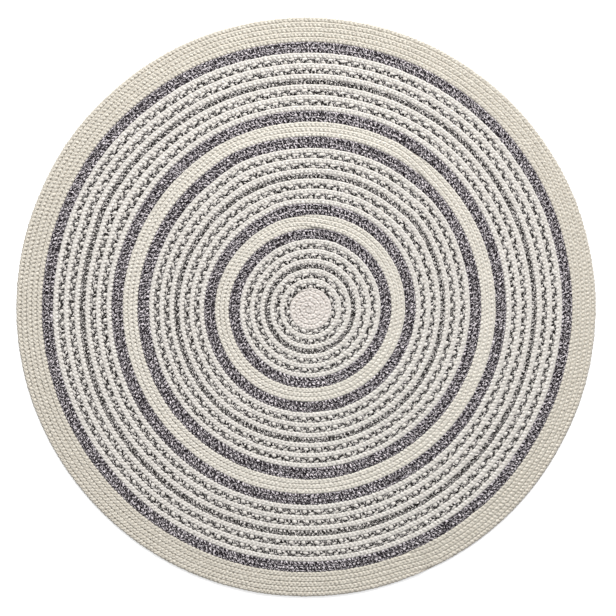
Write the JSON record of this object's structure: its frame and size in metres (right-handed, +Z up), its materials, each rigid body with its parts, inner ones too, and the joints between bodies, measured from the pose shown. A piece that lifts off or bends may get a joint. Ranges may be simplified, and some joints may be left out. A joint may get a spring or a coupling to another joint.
{
  "type": "round braided rug",
  "caption": "Flat round rug of three-strand braid wound in rings and sewn side by side, with cream, charcoal and mixed rings, to lie on a floor.",
  "frame": {"origin": "on the floor, below the middle of the round outline", "axes": "+Z up, out of the rug's face; X and Y lie in the floor"},
  "size_m": [1.8, 1.8, 0.01],
  "materials": {
    "cream_yarn": "matt spun yarn in a flat three-strand braid",
    "mixed_yarn": "matt spun yarn, two charcoal strands and one cream strand in each braid",
    "charcoal_yarn": "matt heathered yarn, charcoal with light flecks"
  },
  "bodies": {
    "root": {"centre_cream": "cream_yarn", "field1_01_mixed": "mixed_yarn", "field1_02_cream": "cream_yarn", "field1_03_mixed": "mixed_yarn", "field1_04_cream": "cream_yarn", "field1_05_dark": "charcoal_yarn", "field1_06_cream": "cream_yarn", "field1_07_mixed": "mixed_yarn", "field1_08_cream": "cream_yarn", "field1_09_mixed": "mixed_yarn", "field1_10_cream": "cream_yarn", "ring1_inner_dark": "charcoal_yarn", "ring1_middle_cream": "cream_yarn", "ring1_outer_dark": "charcoal_yarn", "field2_01_cream": "cream_yarn", "field2_02_mixed": "mixed_yarn", "field2_03_cream": "cream_yarn", "field2_04_mixed": "mixed_yarn", "field2_05_cream": "cream_yarn", "field2_06_dark": "charcoal_yarn", "field2_07_cream": "cream_yarn", "field2_08_mixed": "mixed_yarn", "field2_09_cream": "cream_yarn", "field2_10_mixed": "mixed_yarn", "field2_11_cream": "cream_yarn", "ring2_inner_dark": "charcoal_yarn", "ring2_middle_cream": "cream_yarn", "ring2_outer_dark": "charcoal_yarn", "field3_01_cream": "cream_yarn", "field3_02_mixed": "mixed_yarn", "field3_03_cream": "cream_yarn", "field3_04_mixed": "mixed_yarn", "field3_05_cream": "cream_yarn", "field3_06_dark": "charcoal_yarn", "field3_07_cream": "cream_yarn", "field3_08_mixed": "mixed_yarn", "field3_09_cream": "cream_yarn", "field3_10_mixed": "mixed_yarn", "field3_11_cream": "cream_yarn", "rim_inner_dark": "charcoal_yarn", "rim_outer_cream": "cream_yarn"}
  },
  "joints": []
}
